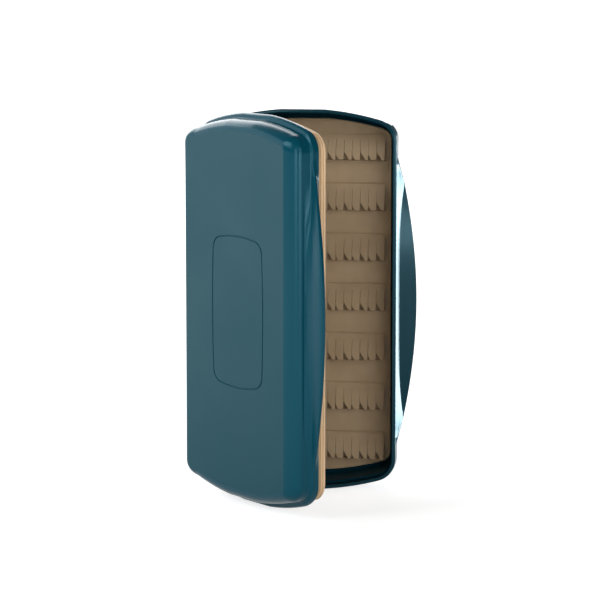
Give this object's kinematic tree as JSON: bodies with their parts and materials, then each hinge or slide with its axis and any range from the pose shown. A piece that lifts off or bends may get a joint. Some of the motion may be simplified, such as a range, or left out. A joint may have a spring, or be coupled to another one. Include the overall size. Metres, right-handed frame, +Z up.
{
  "type": "fly box",
  "caption": "Hinged two-shell box for fishing flies, standing ajar on its arched ends, with slit silicone mats, a ribbed plug seal, thumb tabs and pinned hinges.",
  "frame": {"origin": "middle of the flat foot under the tray, on the surface that the box stands on", "axes": "+Z up along the hinge, +X from the hinge to the tray's free edge, +Y out through the back of the tray"},
  "size_m": [0.1063, 0.0992, 0.1796],
  "materials": {
    "shell_plastic": "glossy teal moulded plastic",
    "mat_silicone": "matt tan silicone",
    "seal_silicone": "satin pale tan silicone",
    "pin_steel": "drawn steel wire",
    "magnet_nickel": "nickel-plated magnet"
  },
  "bodies": {
    "tray": {"back_shell": "shell_plastic", "back_mat": "mat_silicone", "hinge_pin_upper": "pin_steel", "hinge_pin_lower": "pin_steel", "back_magnet_upper": "magnet_nickel", "back_magnet_lower": "magnet_nickel"},
    "lid": {"front_shell": "shell_plastic", "front_mat": "mat_silicone", "rim_seal": "seal_silicone", "front_magnet_upper": "magnet_nickel", "front_magnet_lower": "magnet_nickel"}
  },
  "joints": [
    {"name": "lid_swing", "type": "hinge", "parent": "tray", "child": "lid", "pos_m": [-0.04675, -0.0037, 0.0898], "axis": [0, 0, -1], "range_deg": [-45.2, 134.8]}
  ]
}
